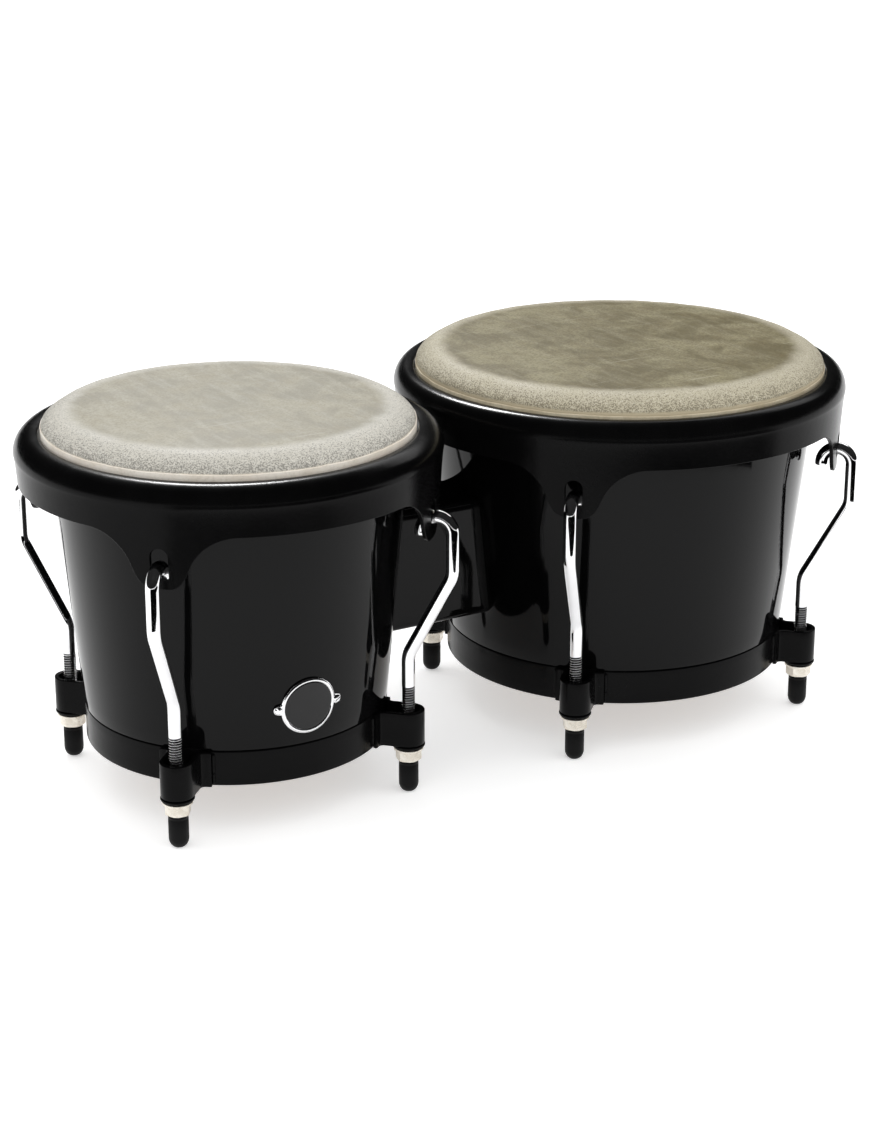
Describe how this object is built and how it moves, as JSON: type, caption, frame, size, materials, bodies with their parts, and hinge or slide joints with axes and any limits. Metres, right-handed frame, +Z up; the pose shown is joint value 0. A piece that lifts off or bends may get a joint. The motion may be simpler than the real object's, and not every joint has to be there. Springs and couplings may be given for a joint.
{
  "type": "bongo drums",
  "caption": "Two joined hand drums of different size, with tensioned skin heads, scalloped steel rims and hooks tuned by nuts under bottom rings, standing on rubber rod tips.",
  "frame": {"origin": "on the floor, below the middle of the box round the pair of drums", "axes": "+X from the small drum to the large drum, +Y towards the far side with the badge at the -Y side, +Z up"},
  "size_m": [0.4348, 0.2288, 0.187],
  "materials": {
    "lacquer": "black high-gloss lacquer",
    "black_steel": "black satin-gloss powder coat",
    "chrome": "polished",
    "nickel": "satin nickel plate",
    "zinc": "zinc plate",
    "tip_rubber": "matte",
    "light_skin": "natural hide, pale",
    "dark_skin": "natural hide, darker and mottled",
    "badge_metal": "polished, plain"
  },
  "bodies": {
    "root": {"small_shell": "lacquer", "small_bottom_ring": "black_steel", "small_head": "light_skin", "small_cup_washer_1": "black_steel", "small_cup_washer_2": "black_steel", "small_cup_washer_3": "black_steel", "small_cup_washer_4": "black_steel", "small_block_bolt_1": "zinc", "small_block_bolt_2": "zinc", "small_ear_1": "black_steel", "small_ear_2": "black_steel", "small_ear_3": "black_steel", "small_ear_4": "black_steel", "large_shell": "lacquer", "large_bottom_ring": "black_steel", "large_head": "dark_skin", "large_cup_washer_1": "black_steel", "large_cup_washer_2": "black_steel", "large_cup_washer_3": "black_steel", "large_cup_washer_4": "black_steel", "large_block_bolt_1": "zinc", "large_block_bolt_2": "zinc", "large_ear_1": "black_steel", "large_ear_2": "black_steel", "large_ear_3": "black_steel", "large_ear_4": "black_steel", "centre_block": "lacquer", "badge": "badge_metal", "badge_pin_1": "badge_metal", "badge_pin_2": "badge_metal"},
    "small_rim": {"small_rim": "black_steel", "small_flesh_hoop": "zinc", "small_hook_1": "chrome", "small_hook_2": "chrome", "small_hook_3": "chrome", "small_hook_4": "chrome", "small_foot_tip_1": "tip_rubber", "small_foot_tip_2": "tip_rubber", "small_foot_tip_3": "tip_rubber", "small_foot_tip_4": "tip_rubber"},
    "small_nut_1": {"small_nut_1": "nickel"},
    "small_nut_2": {"small_nut_2": "nickel"},
    "small_nut_3": {"small_nut_3": "nickel"},
    "small_nut_4": {"small_nut_4": "nickel"},
    "large_rim": {"large_rim": "black_steel", "large_flesh_hoop": "zinc", "large_hook_1": "chrome", "large_hook_2": "chrome", "large_hook_3": "chrome", "large_hook_4": "chrome", "large_foot_tip_1": "tip_rubber", "large_foot_tip_2": "tip_rubber", "large_foot_tip_3": "tip_rubber", "large_foot_tip_4": "tip_rubber"},
    "large_nut_1": {"large_nut_1": "nickel"},
    "large_nut_2": {"large_nut_2": "nickel"},
    "large_nut_3": {"large_nut_3": "nickel"},
    "large_nut_4": {"large_nut_4": "nickel"}
  },
  "joints": [
    {"name": "small_rim_slide", "type": "slide", "parent": "root", "child": "small_rim", "axis": [0, 0, 1], "range_m": [-0.004, 0]},
    {"name": "small_nut_1_turn", "type": "hinge", "parent": "root", "child": "small_nut_1", "pos_m": [-0.05619, 0.06081, 0.01975], "axis": [0, 0, 1], "range_deg": [0, 1140]},
    {"name": "small_nut_2_turn", "type": "hinge", "parent": "root", "child": "small_nut_2", "pos_m": [-0.17781, 0.06081, 0.01975], "axis": [0, 0, 1], "range_deg": [0, 1140]},
    {"name": "small_nut_3_turn", "type": "hinge", "parent": "root", "child": "small_nut_3", "pos_m": [-0.17781, -0.06081, 0.01975], "axis": [0, 0, 1], "range_deg": [0, 1140]},
    {"name": "small_nut_4_turn", "type": "hinge", "parent": "root", "child": "small_nut_4", "pos_m": [-0.05619, -0.06081, 0.01975], "axis": [0, 0, 1], "range_deg": [0, 1140]},
    {"name": "large_rim_slide", "type": "slide", "parent": "root", "child": "large_rim", "axis": [0, 0, 1], "range_m": [-0.004, 0]},
    {"name": "large_nut_1_turn", "type": "hinge", "parent": "root", "child": "large_nut_1", "pos_m": [0.17244, 0.06944, 0.01975], "axis": [0, 0, 1], "range_deg": [0, 1140]},
    {"name": "large_nut_2_turn", "type": "hinge", "parent": "root", "child": "large_nut_2", "pos_m": [0.03356, 0.06944, 0.01975], "axis": [0, 0, 1], "range_deg": [0, 1140]},
    {"name": "large_nut_3_turn", "type": "hinge", "parent": "root", "child": "large_nut_3", "pos_m": [0.03356, -0.06944, 0.01975], "axis": [0, 0, 1], "range_deg": [0, 1140]},
    {"name": "large_nut_4_turn", "type": "hinge", "parent": "root", "child": "large_nut_4", "pos_m": [0.17244, -0.06944, 0.01975], "axis": [0, 0, 1], "range_deg": [0, 1140]}
  ],
  "couplings": [
    {"joint": "small_nut_1_turn", "follows": "small_rim_slide", "rad_per_m": -4947.4},
    {"joint": "small_nut_2_turn", "follows": "small_rim_slide", "rad_per_m": -4947.4},
    {"joint": "small_nut_3_turn", "follows": "small_rim_slide", "rad_per_m": -4947.4},
    {"joint": "small_nut_4_turn", "follows": "small_rim_slide", "rad_per_m": -4947.4},
    {"joint": "large_nut_1_turn", "follows": "large_rim_slide", "rad_per_m": -4947.4},
    {"joint": "large_nut_2_turn", "follows": "large_rim_slide", "rad_per_m": -4947.4},
    {"joint": "large_nut_3_turn", "follows": "large_rim_slide", "rad_per_m": -4947.4},
    {"joint": "large_nut_4_turn", "follows": "large_rim_slide", "rad_per_m": -4947.4}
  ]
}
